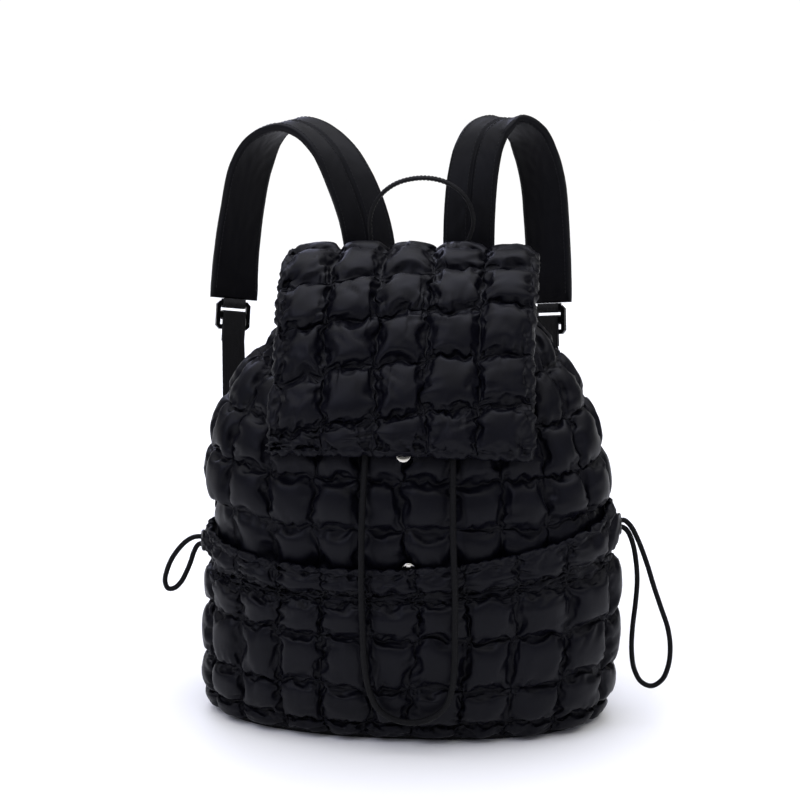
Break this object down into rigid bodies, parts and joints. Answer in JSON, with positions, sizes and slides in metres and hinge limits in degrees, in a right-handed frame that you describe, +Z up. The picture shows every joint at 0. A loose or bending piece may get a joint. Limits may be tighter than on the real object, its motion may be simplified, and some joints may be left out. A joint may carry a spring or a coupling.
{
  "type": "backpack",
  "caption": "Small quilted padded backpack: open-topped sack with fold-over flap, gathered front pocket, haul handle, drawstring, side cord loops and shoulder straps.",
  "frame": {"origin": "middle of the base panel's underside, on the surface that the bag stands on", "axes": "+Z up; -Y out of the front, where the pocket is; +X to the right as seen from the front; the straps are on +Y"},
  "size_m": [0.4034, 0.2617, 0.4643],
  "materials": {
    "quilted_nylon": "down-proof nylon satin weave, calendered, quilted over wadding",
    "strap_nylon": "nylon plain weave over foam",
    "base_nylon": "plain nylon over a stiff board",
    "polyester_webbing": "ribbed woven tape",
    "handle_nylon": "folded and stitched tape",
    "braided_cord": "round polyester braid",
    "black_acetal": "moulded, satin",
    "black_enamelled_brass": "black enamel",
    "nickel_plate": "polished nickel plate"
  },
  "bodies": {
    "root": {"quilted_sack": "quilted_nylon", "base_panel": "base_nylon", "front_pocket": "quilted_nylon", "top_flap": "quilted_nylon", "shoulder_strap_left": "strap_nylon", "shoulder_strap_right": "strap_nylon", "strap_slider_left": "black_acetal", "strap_slider_right": "black_acetal", "strap_loop_left": "polyester_webbing", "strap_loop_right": "polyester_webbing", "strap_webbing_left": "polyester_webbing", "strap_webbing_right": "polyester_webbing", "strap_anchor_left": "strap_nylon", "strap_anchor_right": "strap_nylon", "haul_handle": "handle_nylon", "pocket_eyelet_left": "black_enamelled_brass", "pocket_eyelet_right": "black_enamelled_brass", "pocket_snap": "nickel_plate", "flap_snap": "nickel_plate", "drawstring": "braided_cord", "pocket_cord_left": "braided_cord", "pocket_cord_right": "braided_cord"}
  },
  "joints": []
}
